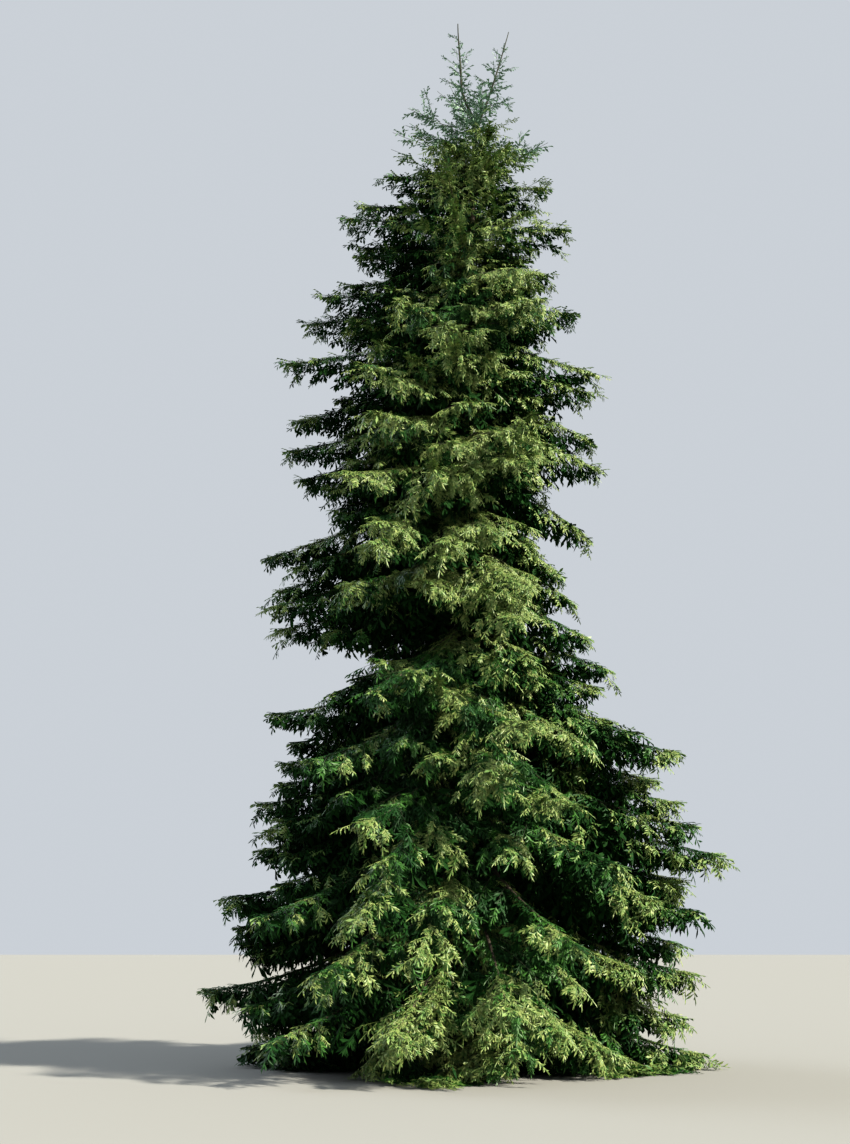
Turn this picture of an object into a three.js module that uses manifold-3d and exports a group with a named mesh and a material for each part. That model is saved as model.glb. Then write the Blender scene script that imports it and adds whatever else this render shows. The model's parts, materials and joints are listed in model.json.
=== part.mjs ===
// A Douglas fir thirteen metres tall that grows in the open, with foliage down to the ground.
// Millimetres, +Z up. The origin is the middle of the flat cut under the trunk, at ground level.
// -Y faces the viewer, -X is the shaded side, and headings are degrees anticlockwise from +X.
import * as THREE from "three";
import { mergeVertices } from "three/addons/utils/BufferGeometryUtils.js";
import Module from "manifold-3d";

const wasm = await Module();
wasm.setup();

// The trunk
const treeHeight = 13000;
const forkHeight = 11500;
const buttRadius = 160;
const tipRadius = 6;
const flare = { depth: 85, height: 230, buttresses: 5, relief: 0.3 };
const trunkSides = 12;
const flareSteps = [0, 70, 160, 290, 480, 800];
const stemStep = 1070;
const leaderStep = 190;
const lean = { shift: 170, power: 1.5, bow: 60, straightensAbove: 600, tipShift: 40 };

// The second leader, which leaves the trunk at the fork
const secondLeader = {
  tipHeight: 12880,
  tipX: 620,
  curve: 0.8,
  rootRadius: 17,
  tipRadius: 5,
  sides: 6,
  rings: 7,
};

// Whorls of boughs from the ground up: the height of the bough tips, and their reach from the trunk's
// middle line, at the crown's left and right edges; one hangs less, over the gap in the crown's left edge
const whorls = [
  { left: { tip: 190, reach: 2500 }, right: { tip: 220, reach: 2500 } },
  { left: { tip: 830, reach: 2900 }, right: { tip: 1050, reach: 2450 } },
  { left: { tip: 1810, reach: 2750 }, right: { tip: 2270, reach: 2950 } },
  { left: { tip: 2810, reach: 2420 }, right: { tip: 3460, reach: 2350 } },
  { left: { tip: 4070, reach: 2300 }, right: { tip: 4440, reach: 1650 } },
  { left: { tip: 5190, reach: 2150 }, right: { tip: 5370, reach: 1450 }, hang: 0.6 },
  { left: { tip: 6090, reach: 2450 }, right: { tip: 5960, reach: 1430 } },
  { left: { tip: 6940, reach: 2100 }, right: { tip: 7060, reach: 1600 } },
  { left: { tip: 8200, reach: 2250 }, right: { tip: 7960, reach: 1620 } },
  { left: { tip: 8900, reach: 1950 }, right: { tip: 9100, reach: 1420 } },
  { left: { tip: 10200, reach: 1600 }, right: { tip: 9850, reach: 1240 } },
  { left: { tip: 11060, reach: 1100 }, right: { tip: 11140, reach: 1100 } },
];
const sideNames = ["right", "back", "left", "front"];
// Whorls are turned by turns to the one side and the other, each bough a little more or less
const turned = { whorl: 14, bough: 5 };
// The heading halfway between the crown's right and left edges
const halfway = 90;

// How a bough falls from its root to its tip: steeply low on the trunk, and rising near the top
const fall = {
  atGround: 0.58,
  change: 0.5,
  levelHeight: 9300,
  power: 2.2,
  usualReach: 2000,
  early: 1.5,
  furthest: 1.2,
};

// The room of a whorl, which its foliage keeps to: how far it hangs below its boughs, as a share of the way
// down to the next whorl, less towards the bough tips (for the lowest and the highest whorl), and the clear
// space round it
const room = {
  hang: 0.92,
  lowestHang: 900,
  tipHang: [0.8, 0.35],
  thinsFrom: [0.8, 0.68],
  clear: 50,
  sideClear: 25,
  trunkClear: 40,
  pastReach: 1.01,
  ground: 15,
  lowestPoint: 16,
};

// Bare boughs in the lowest whorls, up to where they enter their foliage
const bareBough = { whorls: 2, length: 620, rootRadius: 46, endRadius: 34, sides: 6, rings: 4 };
const clearance = 0.3;

// Foliage: a stem, a toothed core round it, needled twigs to both sides, and sprays that hang from them
const stem = { radiusShare: 0.011, leastRadius: 11, tipRadius: 5, sides: 4, rings: 4, end: 0.93 };
const plan = { opening: 1, closing: 1.25, tipWidth: 0.03, least: 10 };
const core = {
  stations: 6,
  from: 0.04,
  pastBare: 40,
  to: 0.78,
  tip: 0.95,
  width: 0.76,
  lowerWidth: 0.75,
  notch: 0.72,
  edge: 0.22,
  depth: 0.9,
};
const twig = {
  reachForPair: 1100,
  first: 0.16,
  last: 0.8,
  stray: 0.6,
  pastBare: 60,
  angle: 54,
  angleStray: 12,
  step: 10,
  sag: 0.08,
  droop: 0.1,
  width: 0.22,
  thick: 0.025,
  roll: 0.5,
};
const hanging = {
  alongTwig: 0.7,
  out: 0.84,
  across: 0.7,
  from: 0.3,
  to: 0.99,
  lean: 1.14,
  droop: 0.04,
  width: 0.24,
  thick: 0.03,
  roll: 3,
};
const tip = { length: 0.3, droop: 0.25, width: 0.2, thick: 0.03 };
const shorter = [1, 0.85, 0.7];
// The share of a blade next to its root, which may lie outside the room of its mass
const rootShare = 0.25;
// Outlines of needled blades as shares of their length and half width, from the root round to the root
const sprayOutline = [
  [0, 0],
  [0.56, -1],
  [0.55, -0.45],
  [1, 0],
  [0.55, 0.45],
  [0.56, 1],
];
const twigOutline = [
  [0, -0.14],
  [0.6, -1],
  [0.66, -0.42],
  [1, 0],
  [0.66, 0.42],
  [0.6, 1],
  [0, 0.14],
];

// Where along a blade its upper and lower sides are thickest
const thickest = 0.56;

// Tufts round the two leaders: a sleeve of needles, and shoots that turn round it by the golden angle
const tuft = {
  first: { from: 11750, to: 12940 },
  second: { from: 11800, to: 12825 },
  cover: 22,
  sides: 5,
  rings: 7,
  shoots: 7,
  stray: 0.3,
  longest: 620,
  shortest: 200,
  rise: [0.55, 1.4],
  clear: 16,
};
const shootShape = { width: 0.2, thick: 0.04, droop: 0.1 };
const goldenAngle = 137.5;

// Details smaller than this are smoothed away where solids are joined, and slivers where they are cut
const smallest = 4;
const sliver = 0.02;
const treeSeed = 20611;
const seedSteps = { level: 101, bough: 17 };
const up = new THREE.Vector3(0, 0, 1);
const radians = THREE.MathUtils.degToRad;
const { lerp, smoothstep } = THREE.MathUtils;

/** Repeatable draws between 0 and 1 from a whole-number seed (Park and Miller's generator). */
function drawsFrom(seed) {
  const [modulus, multiplier] = [2147483647, 48271];
  let state = seed % modulus;
  return () => {
    state = (state * multiplier) % modulus;
    return state / modulus;
  };
}

/** A manifold solid from points and triangles whose faces point out. */
function solidOf(points, triangles) {
  const geometry = new THREE.BufferGeometry().setFromPoints(points);
  geometry.setIndex(triangles.flat());
  const merged = mergeVertices(geometry, 1e-3);
  return new wasm.Manifold(
    new wasm.Mesh({
      numProp: 3,
      vertProperties: merged.attributes.position.array,
      triVerts: new Uint32Array(merged.index.array),
    }),
  );
}

/** A closed solid through rings of points, anticlockwise seen from the last ring; a tip may close it. */
function loft(rings, tip) {
  const sides = rings[0].length;
  const points = rings.flat();
  const last = points.length - sides;
  const triangles = [];
  for (let side = 0; side < sides; side++) {
    const next = (side + 1) % sides;
    for (let start = 0; start < last; start += sides) {
      const corners = [start + side, start + next, start + sides + next, start + sides + side];
      triangles.push([corners[0], corners[1], corners[2]], [corners[0], corners[2], corners[3]]);
    }
    if (tip) triangles.push([last + side, last + next, points.length]);
  }
  if (tip) points.push(tip);
  capRing(points, triangles, 0, sides, true);
  if (!tip) capRing(points, triangles, last, sides, false);
  return solidOf(points, triangles);
}

/** Closes the ring of points that begins at start with a fan round its middle point. */
function capRing(points, triangles, start, sides, facesBack) {
  const ring = points.slice(start, start + sides);
  const middle = ring.reduce((sum, point) => sum.add(point), new THREE.Vector3()).divideScalar(sides);
  const centre = points.push(middle) - 1;
  for (let side = 0; side < sides; side++) {
    const [here, next] = [start + side, start + ((side + 1) % sides)];
    triangles.push(facesBack ? [centre, next, here] : [centre, here, next]);
  }
}

/** A ring of points square to the way a limb runs. */
function ringAcross(centre, along, radius, sides) {
  const level = up.clone().cross(along).normalize();
  const raised = along.clone().cross(level).normalize();
  return Array.from({ length: sides }, (_, side) => {
    const angle = (2 * Math.PI * side) / sides;
    return centre
      .clone()
      .addScaledVector(level, radius * Math.cos(angle))
      .addScaledVector(raised, radius * Math.sin(angle));
  });
}

/** A level ring of points round a centre, for what stands upright; the radius may differ by heading. */
function levelRing(centre, radiusAt, sides) {
  return Array.from({ length: sides }, (_, side) => {
    const heading = (2 * Math.PI * side) / sides;
    const radius = radiusAt(heading);
    return new THREE.Vector3(Math.cos(heading) * radius, Math.sin(heading) * radius, 0).add(centre);
  });
}

/** Where the trunk's middle line is at a height: a slight bow, then the bend above the fork. */
function trunkLine(height) {
  const share = Math.min(height / forkHeight, 1);
  const aboveFork = smoothstep(height, forkHeight, forkHeight + lean.straightensAbove);
  const nearTip = smoothstep(height, forkHeight + lean.straightensAbove, treeHeight);
  const leaning = lean.shift * (share ** lean.power - aboveFork) - lean.tipShift * nearTip;
  return new THREE.Vector3(leaning - lean.bow * Math.sin(Math.PI * share), 0, height);
}

function trunkRadius(height, heading = 0) {
  const taper = lerp(buttRadius, tipRadius, height / treeHeight);
  const lobes = 1 + flare.relief * Math.cos(flare.buttresses * heading);
  return taper + flare.depth * lobes * Math.exp(-height / flare.height);
}

/** The trunk with its root flare, from the ground to the first leader's tip, grown by an allowance. */
function trunkSolid(allowance = 0) {
  const heights = [...flareSteps];
  while (heights.at(-1) + stemStep < forkHeight) heights.push(heights.at(-1) + stemStep);
  for (let height = forkHeight; height < treeHeight; height += leaderStep) heights.push(height);
  heights.push(treeHeight);
  return loft(
    heights.map((height) => {
      return levelRing(trunkLine(height), (heading) => trunkRadius(height, heading) + allowance, trunkSides);
    }),
  );
}

/** How far along the second leader a height is: 0 at the fork, and 1 at its tip. */
function leaderShare(height) {
  return THREE.MathUtils.clamp((height - forkHeight) / (secondLeader.tipHeight - forkHeight), 0, 1);
}

/** Where the second leader's middle line is at a height. */
function secondLeaderLine(height) {
  const x = lerp(trunkLine(forkHeight).x, secondLeader.tipX, leaderShare(height) ** secondLeader.curve);
  return new THREE.Vector3(x, 0, height);
}

function secondLeaderRadius(height) {
  return lerp(secondLeader.rootRadius, secondLeader.tipRadius, leaderShare(height));
}

function secondLeaderSolid(allowance = 0) {
  const { rings, sides, tipHeight } = secondLeader;
  return loft(
    Array.from({ length: rings }, (_, ring) => {
      const height = lerp(forkHeight, tipHeight, ring / (rings - 1));
      return levelRing(secondLeaderLine(height), () => secondLeaderRadius(height) + allowance, sides);
    }),
  );
}

/** How a whorl's boughs run at a heading: their reach, and the heights of their root and tip. */
function boughLayout(whorl, heading) {
  const rightShare = (1 + Math.cos(radians(heading))) / 2;
  const reach = lerp(whorl.left.reach, whorl.right.reach, rightShare) / Math.cos(radians(turned.whorl));
  const tip = lerp(whorl.left.tip, whorl.right.tip, rightShare);
  const fallShare = fall.atGround - fall.change * (tip / fall.levelHeight) ** fall.power;
  const drop = fallShare * Math.sqrt(reach * fall.usualReach);
  return { reach, tip, drop, root: tip + drop };
}

/** The height of a whorl's boughs at a heading and a distance from the trunk's middle line. */
function boughHeight(whorl, heading, distance) {
  const { reach, root, drop } = boughLayout(whorl, heading);
  const share = Math.min(distance / reach, fall.furthest);
  return root - drop * share * (fall.early - (fall.early - 1) * share);
}

/** How far foliage may hang below a whorl's boughs at a heading and a distance out. */
function hangBelow(level, heading, distance) {
  const { reach, root } = boughLayout(whorls[level], heading);
  const share = level / (whorls.length - 1);
  const nearTip = smoothstep(distance / reach, lerp(...room.thinsFrom, share), 1);
  const thinner = lerp(1, lerp(...room.tipHang, share), nearTip);
  if (level === 0) return room.lowestHang * thinner;
  const gap = root - boughLayout(whorls[level - 1], heading).root;
  return (whorls[level].hang ?? room.hang) * gap * thinner;
}

/** Everything that places one bough and its foliage. */
function boughAt(level, index) {
  const whorl = whorls[level];
  const levelSeed = treeSeed + seedSteps.level * level;
  const draw = drawsFrom(levelSeed);
  draw();
  const turn = (level % 2 ? 1 : -1) * turned.whorl;
  const headings = sideNames.map((_, side) => 90 * side + turn + turned.bough * (2 * draw() - 1));
  const heading = headings[index];
  const before = index === 0 ? headings[3] - 360 : headings[index - 1];
  const after = index === 3 ? headings[0] + 360 : headings[index + 1];
  const outward = new THREE.Vector3(Math.cos(radians(heading)), Math.sin(radians(heading)), 0);
  return {
    ...boughLayout(whorl, heading),
    level,
    heading,
    outward,
    sideways: up.clone().cross(outward),
    centre: trunkLine(boughLayout(whorl, halfway).root).setZ(0),
    name: `${level + 1}_${sideNames[index]}`,
    rightRoom: (heading - before) / 2,
    leftRoom: (after - heading) / 2,
    bare: level < bareBough.whorls ? bareBough.length : 0,
    seed: levelSeed + seedSteps.bough * (index + 1),
  };
}

/** The heading and distance of a point from its whorl's middle, where the heading is the bough's own. */
function polarFrom(bough, point) {
  const [x, y] = [point.x - bough.centre.x, point.y - bough.centre.y];
  const distance = Math.hypot(x, y);
  const heading = distance < smallest ? bough.heading : THREE.MathUtils.radToDeg(Math.atan2(y, x));
  return { heading, distance };
}

/**
 * A point of a bough's foliage by its distance out along the bough and across it, and by its depth: 0 on the
 * whorl's surface, and 1 as far below as the foliage hangs there.
 */
function foliagePoint(bough, along, across = 0, depth = 0) {
  const point = bough.centre.clone().addScaledVector(bough.outward, along);
  point.addScaledVector(bough.sideways, across);
  const { heading, distance } = polarFrom(bough, point);
  const surface = boughHeight(whorls[bough.level], heading, distance);
  return point.setZ(Math.max(surface - depth * hangBelow(bough.level, heading, distance), room.lowestPoint));
}

function boughDirection(bough, along) {
  const step = 20;
  return foliagePoint(bough, along + step)
    .sub(foliagePoint(bough, Math.max(along - step, 0)))
    .normalize();
}

/** True where a point lies in the room that a bough's foliage keeps to. */
function keepsToRoom(bough, point) {
  const { heading, distance } = polarFrom(bough, point);
  if (distance < trunkRadius(point.z) + room.trunkClear) return false;
  if (distance > bough.reach * room.pastReach) return false;
  const turn = THREE.MathUtils.euclideanModulo(heading - bough.heading + 180, 360) - 180;
  const sideClear = THREE.MathUtils.radToDeg(room.sideClear / distance);
  if (turn < sideClear - bough.rightRoom || turn > bough.leftRoom - sideClear) return false;
  const surface = boughHeight(whorls[bough.level], heading, distance);
  if (point.z < Math.max(surface - hangBelow(bough.level, heading, distance), room.ground)) return false;
  const above = whorls[bough.level + 1];
  if (!above || distance > boughLayout(above, heading).reach * room.pastReach) return true;
  const floorAbove = boughHeight(above, heading, distance) - hangBelow(bough.level + 1, heading, distance);
  return point.z < floorAbove - room.clear;
}

/** Half the width of a bough's foliage to its left (1) or its right (-1), seen from above. */
function halfWidth(bough, along, side) {
  const share = along / bough.reach;
  const edge = Math.tan(radians(side > 0 ? bough.leftRoom : bough.rightRoom));
  const opening = Math.min(plan.opening, edge) * along - 2 * room.sideClear;
  return Math.max(Math.min(opening, bough.reach * (plan.closing * (1 - share) + plan.tipWidth)), plan.least);
}

/** The bare stretch of a bough, from the trunk to where it enters its foliage. */
function bareBoughSolid(bough) {
  const { rings, sides, rootRadius, endRadius } = bareBough;
  return loft(
    Array.from({ length: rings }, (_, ring) => {
      const along = (bough.bare * ring) / (rings - 1);
      const radius = lerp(rootRadius, endRadius, ring / (rings - 1));
      return ringAcross(foliagePoint(bough, along), boughDirection(bough, along), radius, sides);
    }),
  );
}

/** The woody stem inside a mass of foliage, from its bough's end or from inside the trunk. */
function stemSolid(bough) {
  const start = bough.bare ? bough.bare + clearance : 0;
  const thick = bough.bare ? bareBough.endRadius : Math.max(stem.leastRadius, stem.radiusShare * bough.reach);
  return loft(
    Array.from({ length: stem.rings }, (_, ring) => {
      const along = lerp(start, stem.end * bough.reach, ring / (stem.rings - 1));
      const radius = lerp(thick, stem.tipRadius, ring / (stem.rings - 1));
      return ringAcross(foliagePoint(bough, along), boughDirection(bough, along), radius, stem.sides);
    }),
  );
}

/** The dense inside of a mass: a keeled body along the stem whose side and lower edges are toothed. */
function coreSolid(bough) {
  const from = Math.max(bough.bare + core.pastBare, trunkRadius(bough.root) + core.from * bough.reach);
  const rings = Array.from({ length: core.stations }, (_, station) => {
    const along = lerp(from, core.to * bough.reach, station / (core.stations - 1));
    const tooth = station % 2 ? 1 : core.notch;
    const [left, right] = [1, -1].map((side) => side * core.width * tooth * halfWidth(bough, along, side));
    const depth = core.depth * (station % 2 ? core.notch : 1);
    return [
      foliagePoint(bough, along, left, core.edge),
      foliagePoint(bough, along, 0, 0),
      foliagePoint(bough, along, right, core.edge),
      foliagePoint(bough, along, core.lowerWidth * right, depth),
      foliagePoint(bough, along, core.lowerWidth * left, depth),
    ];
  });
  return loft(rings, foliagePoint(bough, core.tip * bough.reach, 0, core.edge));
}

/** The corners of a needled blade: its rim, then the middles of its upper and its lower side. */
function bladePoints(outline, from, to, { width, thick, droop, roll = 0 }) {
  const chord = to.clone().sub(from);
  const length = chord.length();
  const level = up.clone().cross(chord).normalize().applyAxisAngle(chord.clone().normalize(), roll);
  const raised = chord.clone().cross(level).normalize();
  const place = (far, wide, high) =>
    from
      .clone()
      .addScaledVector(chord, far)
      .addScaledVector(level, wide * width * length)
      .addScaledVector(raised, high * thick * length)
      .addScaledVector(up, droop * length * far * (1 - far));
  const rim = outline.map(([far, wide]) => place(far, wide, 0));
  return [...rim, place(thickest, 0, 1), place(thickest, 0, -1)];
}

function bladeSolid(points) {
  const rim = points.length - 2;
  const triangles = [];
  for (let corner = 0; corner < rim; corner++) {
    const next = (corner + 1) % rim;
    triangles.push([corner, next, rim], [next, corner, rim + 1]);
  }
  return solidOf(points, triangles);
}

/** Adds a blade, shorter where there is less room, or none where it would still leave the room. */
function addBlade(pieces, bough, outline, from, to, shape) {
  for (const share of shorter) {
    const points = bladePoints(outline, from, from.clone().lerp(to, share), shape);
    const outer = points.filter((point) => point.distanceTo(from) > rootShare * from.distanceTo(to));
    if (outer.every((point) => keepsToRoom(bough, point))) {
      pieces.push(bladeSolid(points));
      return;
    }
  }
}

/** The twigs of one mass, and the sprays that hang below them, by the seeded rule. */
function growTwigs(pieces, bough) {
  const draw = drawsFrom(bough.seed);
  draw();
  const count = 2 * Math.round(bough.reach / twig.reachForPair);
  for (let number = 0; number < count; number++) {
    const side = number % 2 ? -1 : 1;
    const share = lerp(twig.first, twig.last, (number + twig.stray * draw()) / (count - 1 + twig.stray));
    const start = Math.max(share * bough.reach, bough.bare + twig.pastBare);
    const slant = radians(twig.angle + twig.angleStray * (draw() - 0.5));
    const [out, over] = [Math.cos(slant), Math.sin(slant)];
    let run = 0;
    while (run * over < halfWidth(bough, start + run * out, side)) run += twig.step;
    const root = foliagePoint(bough, start);
    const end = foliagePoint(bough, start + run * out, side * run * over, twig.sag);
    addBlade(pieces, bough, twigOutline, root, end, { ...twig, roll: twig.roll * (draw() - 0.5) });
    const under = Math.min(start + hanging.alongTwig * run * out, hanging.out * bough.reach);
    const across = side * hanging.across * halfWidth(bough, under, side);
    const from = foliagePoint(bough, under, across, hanging.from);
    const to = foliagePoint(bough, under * hanging.lean, across * hanging.lean, hanging.to);
    addBlade(pieces, bough, sprayOutline, from, to, { ...hanging, roll: hanging.roll * (draw() - 0.5) });
  }
}

/** The blade that ends a bough, with its point at the bough's full reach. */
function tipSolid(bough) {
  const from = foliagePoint(bough, (1 - tip.length) * bough.reach);
  return bladeSolid(bladePoints(sprayOutline, from, foliagePoint(bough, bough.reach), tip));
}

/** The largest body of a solid: loose scraps and sealed hollows are left out. */
function largestBody(solid) {
  return solid.decompose().reduce((kept, body) => (body.volume() > kept.volume() ? body : kept));
}

/** Joins pieces, smooths away what is too small to matter, and cuts the result clear of what holds it. */
function joined(pieces, holders) {
  const whole = largestBody(largestBody(wasm.Manifold.union(pieces)).simplify(smallest));
  const clear = holders.reduce((mass, holder) => mass.subtract(holder), whole);
  return largestBody(clear).simplify(sliver);
}

/** One mass of foliage as a single solid, clear of the trunk and the second leader. */
function foliageSolid(bough, holders) {
  const pieces = [stemSolid(bough), coreSolid(bough), tipSolid(bough)];
  growTwigs(pieces, bough);
  return joined(pieces, holders);
}

/** Halfway between the two leaders at a height. */
function betweenLeaders(height) {
  return (trunkLine(height).x + secondLeaderLine(height).x) / 2;
}

/** The tuft round a leader, on its own side (left -1, right 1) of the plane between the two leaders. */
function tuftSolid({ from, to }, side, lineAt, radiusAt, holders) {
  const draw = drawsFrom(treeSeed + side);
  draw();
  const { rings, sides, shoots } = tuft;
  const pieces = [
    loft(
      Array.from({ length: rings }, (_, ring) => {
        const height = lerp(from, to, ring / (rings - 1));
        return levelRing(lineAt(height), () => radiusAt(height) + tuft.cover, sides);
      }),
    ),
  ];
  for (let shoot = 0; shoot < shoots; shoot++) {
    const share = (shoot + tuft.stray * draw()) / shoots;
    const length = lerp(tuft.longest, tuft.shortest, share) * (1 + tuft.stray * (draw() - 0.5));
    const heading = radians(goldenAngle * shoot + (side > 0 ? 0 : 180));
    const rise = lerp(...tuft.rise, share);
    const along = new THREE.Vector3(Math.cos(heading), Math.sin(heading), rise).normalize();
    const root = lineAt(lerp(from, to, share));
    const points = bladePoints(sprayOutline, root, root.clone().addScaledVector(along, length), shootShape);
    if (points.slice(1).every((point) => side * (point.x - betweenLeaders(point.z)) > tuft.clear)) {
      pieces.push(bladeSolid(points));
    }
  }
  return joined(pieces, holders);
}

/** A named mesh in its own colour. */
function namedMesh(name, solid, material) {
  const { numProp, numVert, vertProperties, triVerts } = solid.getMesh();
  const points = new Float32Array(numVert * 3);
  for (let vertex = 0; vertex < numVert; vertex++) {
    points.set(vertProperties.subarray(vertex * numProp, vertex * numProp + 3), vertex * 3);
  }
  const geometry = new THREE.BufferGeometry();
  geometry.setAttribute("position", new THREE.BufferAttribute(points, 3));
  geometry.setIndex(new THREE.BufferAttribute(triVerts, 1));
  geometry.computeVertexNormals();
  const mesh = new THREE.Mesh(geometry, material);
  mesh.name = name;
  return mesh;
}

const bark = new THREE.MeshStandardMaterial({ color: "#5b4a3c", roughness: 0.95, metalness: 0 });
const needles = new THREE.MeshStandardMaterial({ color: "#5f7a36", roughness: 0.8, metalness: 0 });

const tree = new THREE.Group();
const trunk = trunkSolid();
const holders = [trunkSolid(clearance), secondLeaderSolid(clearance)];
tree.add(namedMesh("trunk", trunk, bark));
tree.add(namedMesh("second_leader", secondLeaderSolid().subtract(holders[0]), bark));
whorls.forEach((_, level) => {
  sideNames.forEach((_, index) => {
    const bough = boughAt(level, index);
    if (bough.bare) {
      tree.add(namedMesh(`bough_${bough.name}`, bareBoughSolid(bough).subtract(holders[0]), bark));
    }
    tree.add(namedMesh(`foliage_${bough.name}`, foliageSolid(bough, holders), needles));
  });
});
const firstTuft = tuftSolid(tuft.first, -1, trunkLine, trunkRadius, holders);
tree.add(namedMesh("foliage_first_leader", firstTuft, needles));
const secondTuft = tuftSolid(tuft.second, 1, secondLeaderLine, secondLeaderRadius, holders);
tree.add(namedMesh("foliage_second_leader", secondTuft, needles));

export default tree;
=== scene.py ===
import json
import math

import bpy
import numpy as np
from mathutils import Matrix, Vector, noise

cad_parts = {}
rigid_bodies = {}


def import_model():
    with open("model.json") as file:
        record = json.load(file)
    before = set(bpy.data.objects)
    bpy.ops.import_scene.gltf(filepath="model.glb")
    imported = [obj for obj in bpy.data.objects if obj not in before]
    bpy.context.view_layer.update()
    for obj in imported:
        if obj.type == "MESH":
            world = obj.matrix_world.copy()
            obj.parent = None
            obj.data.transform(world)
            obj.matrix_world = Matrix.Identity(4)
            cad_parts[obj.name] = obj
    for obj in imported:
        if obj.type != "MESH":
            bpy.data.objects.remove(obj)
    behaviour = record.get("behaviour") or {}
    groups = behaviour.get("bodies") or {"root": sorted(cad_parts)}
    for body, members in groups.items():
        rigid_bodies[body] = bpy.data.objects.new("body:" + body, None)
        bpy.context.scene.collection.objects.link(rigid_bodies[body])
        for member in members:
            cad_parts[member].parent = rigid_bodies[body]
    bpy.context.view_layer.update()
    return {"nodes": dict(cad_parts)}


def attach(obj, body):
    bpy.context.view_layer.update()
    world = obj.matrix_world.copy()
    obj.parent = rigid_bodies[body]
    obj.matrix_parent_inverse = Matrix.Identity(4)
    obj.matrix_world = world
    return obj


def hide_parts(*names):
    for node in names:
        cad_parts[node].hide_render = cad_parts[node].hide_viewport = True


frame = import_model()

up = Vector((0, 0, 1))

# The tree in metres, as the frame has it: -Y faces the viewer, headings are degrees anticlockwise from +X
trunk = {
    "height": 13.0, "forkHeight": 11.5, "buttRadius": 0.16, "tipRadius": 0.006, "flareDepth": 0.085,
    "flareHeight": 0.23, "buttresses": 5, "flareRelief": 0.3,
    "shift": 0.17,  # the lean, all of it reached at the fork
    "shiftPower": 1.5, "bow": 0.06, "straightensAbove": 0.6, "tipShift": 0.04,
}
secondLeader = {"tipHeight": 12.88, "tipX": 0.62, "curve": 0.8, "rootRadius": 0.017, "tipRadius": 0.005}

# Whorls of boughs from the ground up: height of the bough tips and reach, at the crown's left and right edges
whorls = [
    {"left": (0.19, 2.50), "right": (0.22, 2.50)},
    {"left": (0.83, 2.90), "right": (1.05, 2.45)},
    {"left": (1.81, 2.75), "right": (2.27, 2.95)},
    {"left": (2.81, 2.42), "right": (3.46, 2.35)},
    {"left": (4.07, 2.30), "right": (4.44, 1.65)},
    {"left": (5.19, 2.15), "right": (5.37, 1.45), "hang": 0.6},  # keeps the gap below it open
    {"left": (6.09, 2.45), "right": (5.96, 1.43)},
    {"left": (6.94, 2.10), "right": (7.06, 1.60)},
    {"left": (8.20, 2.25), "right": (7.96, 1.62)},
    {"left": (8.90, 1.95), "right": (9.10, 1.42)},
    {"left": (10.20, 1.60), "right": (9.85, 1.24)},
    {"left": (11.06, 1.10), "right": (11.14, 1.10)},
]
topWhorl = len(whorls) - 1
sideNames = ["right", "back", "left", "front"]
turned = {"whorl": 14, "bough": 5}  # degrees that whorls and boughs stand off the four sides
# How far a bough falls from the trunk to its tip: old low ones hang, young high ones rise
fall = {
    "atGround": 0.58,  # a share of the reach
    "change": 0.5, "levelHeight": 9.3, "power": 2.2, "usualReach": 2.0, "early": 1.5, "furthest": 1.2,
}
# The room of one mass of foliage. Pairs are for the lowest and the highest whorl
room = {
    "hang": 0.92,  # a share of the gap to the whorl below
    "lowestHang": 0.9, "tipHang": (0.8, 0.35), "thinsFrom": (0.8, 0.68), "closing": 1.25, "tipWidth": 0.03,
}
treeSeed = 20640
seedSteps = {"level": 101, "bough": 17, "fine": 5}

def drawsFrom(seed):  # repeatable draws between 0 and 1, as in the solids, with the first one left out
    state = seed % 2147483647 * 48271 % 2147483647

    def draw():
        nonlocal state
        state = state * 48271 % 2147483647
        return state / 2147483647

    return draw

def eitherWay(draw):  # a draw between -1 and 1
    return 2 * draw() - 1

def mixed(a, b, share):
    return a + (b - a) * share

def between(limits, draw):
    return mixed(*limits, draw())

def smooth(value, low, high):
    share = min(max((value - low) / (high - low), 0), 1)
    return share * share * (3 - 2 * share)

def trunkLine(height):
    share = min(height / trunk["forkHeight"], 1)
    bend = trunk["forkHeight"] + trunk["straightensAbove"]
    leaning = trunk["shift"] * (share ** trunk["shiftPower"] - smooth(height, trunk["forkHeight"], bend))
    tipShift = trunk["tipShift"] * smooth(height, bend, trunk["height"])
    return Vector((leaning - tipShift - trunk["bow"] * math.sin(math.pi * share), 0, height))

def trunkRadius(height, heading=0.0):
    taper = mixed(trunk["buttRadius"], trunk["tipRadius"], height / trunk["height"])
    lobes = 1 + trunk["flareRelief"] * math.cos(trunk["buttresses"] * heading)
    return taper + trunk["flareDepth"] * lobes * math.exp(-height / trunk["flareHeight"])

def leaderShare(height):
    share = (height - trunk["forkHeight"]) / (secondLeader["tipHeight"] - trunk["forkHeight"])
    return min(max(share, 0), 1)

def secondLeaderLine(height):
    rootX = trunkLine(trunk["forkHeight"]).x
    x = mixed(rootX, secondLeader["tipX"], leaderShare(height) ** secondLeader["curve"])
    return Vector((x, 0, height))

def secondLeaderRadius(height):
    return mixed(secondLeader["rootRadius"], secondLeader["tipRadius"], leaderShare(height))

def dropOf(tip, reach):
    fallShare = fall["atGround"] - fall["change"] * (tip / fall["levelHeight"]) ** fall["power"]
    return fallShare * math.sqrt(reach * fall["usualReach"])

def slowing(share):  # boughs fall early and level out towards the tip
    return fall["early"] - (fall["early"] - 1) * share

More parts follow.
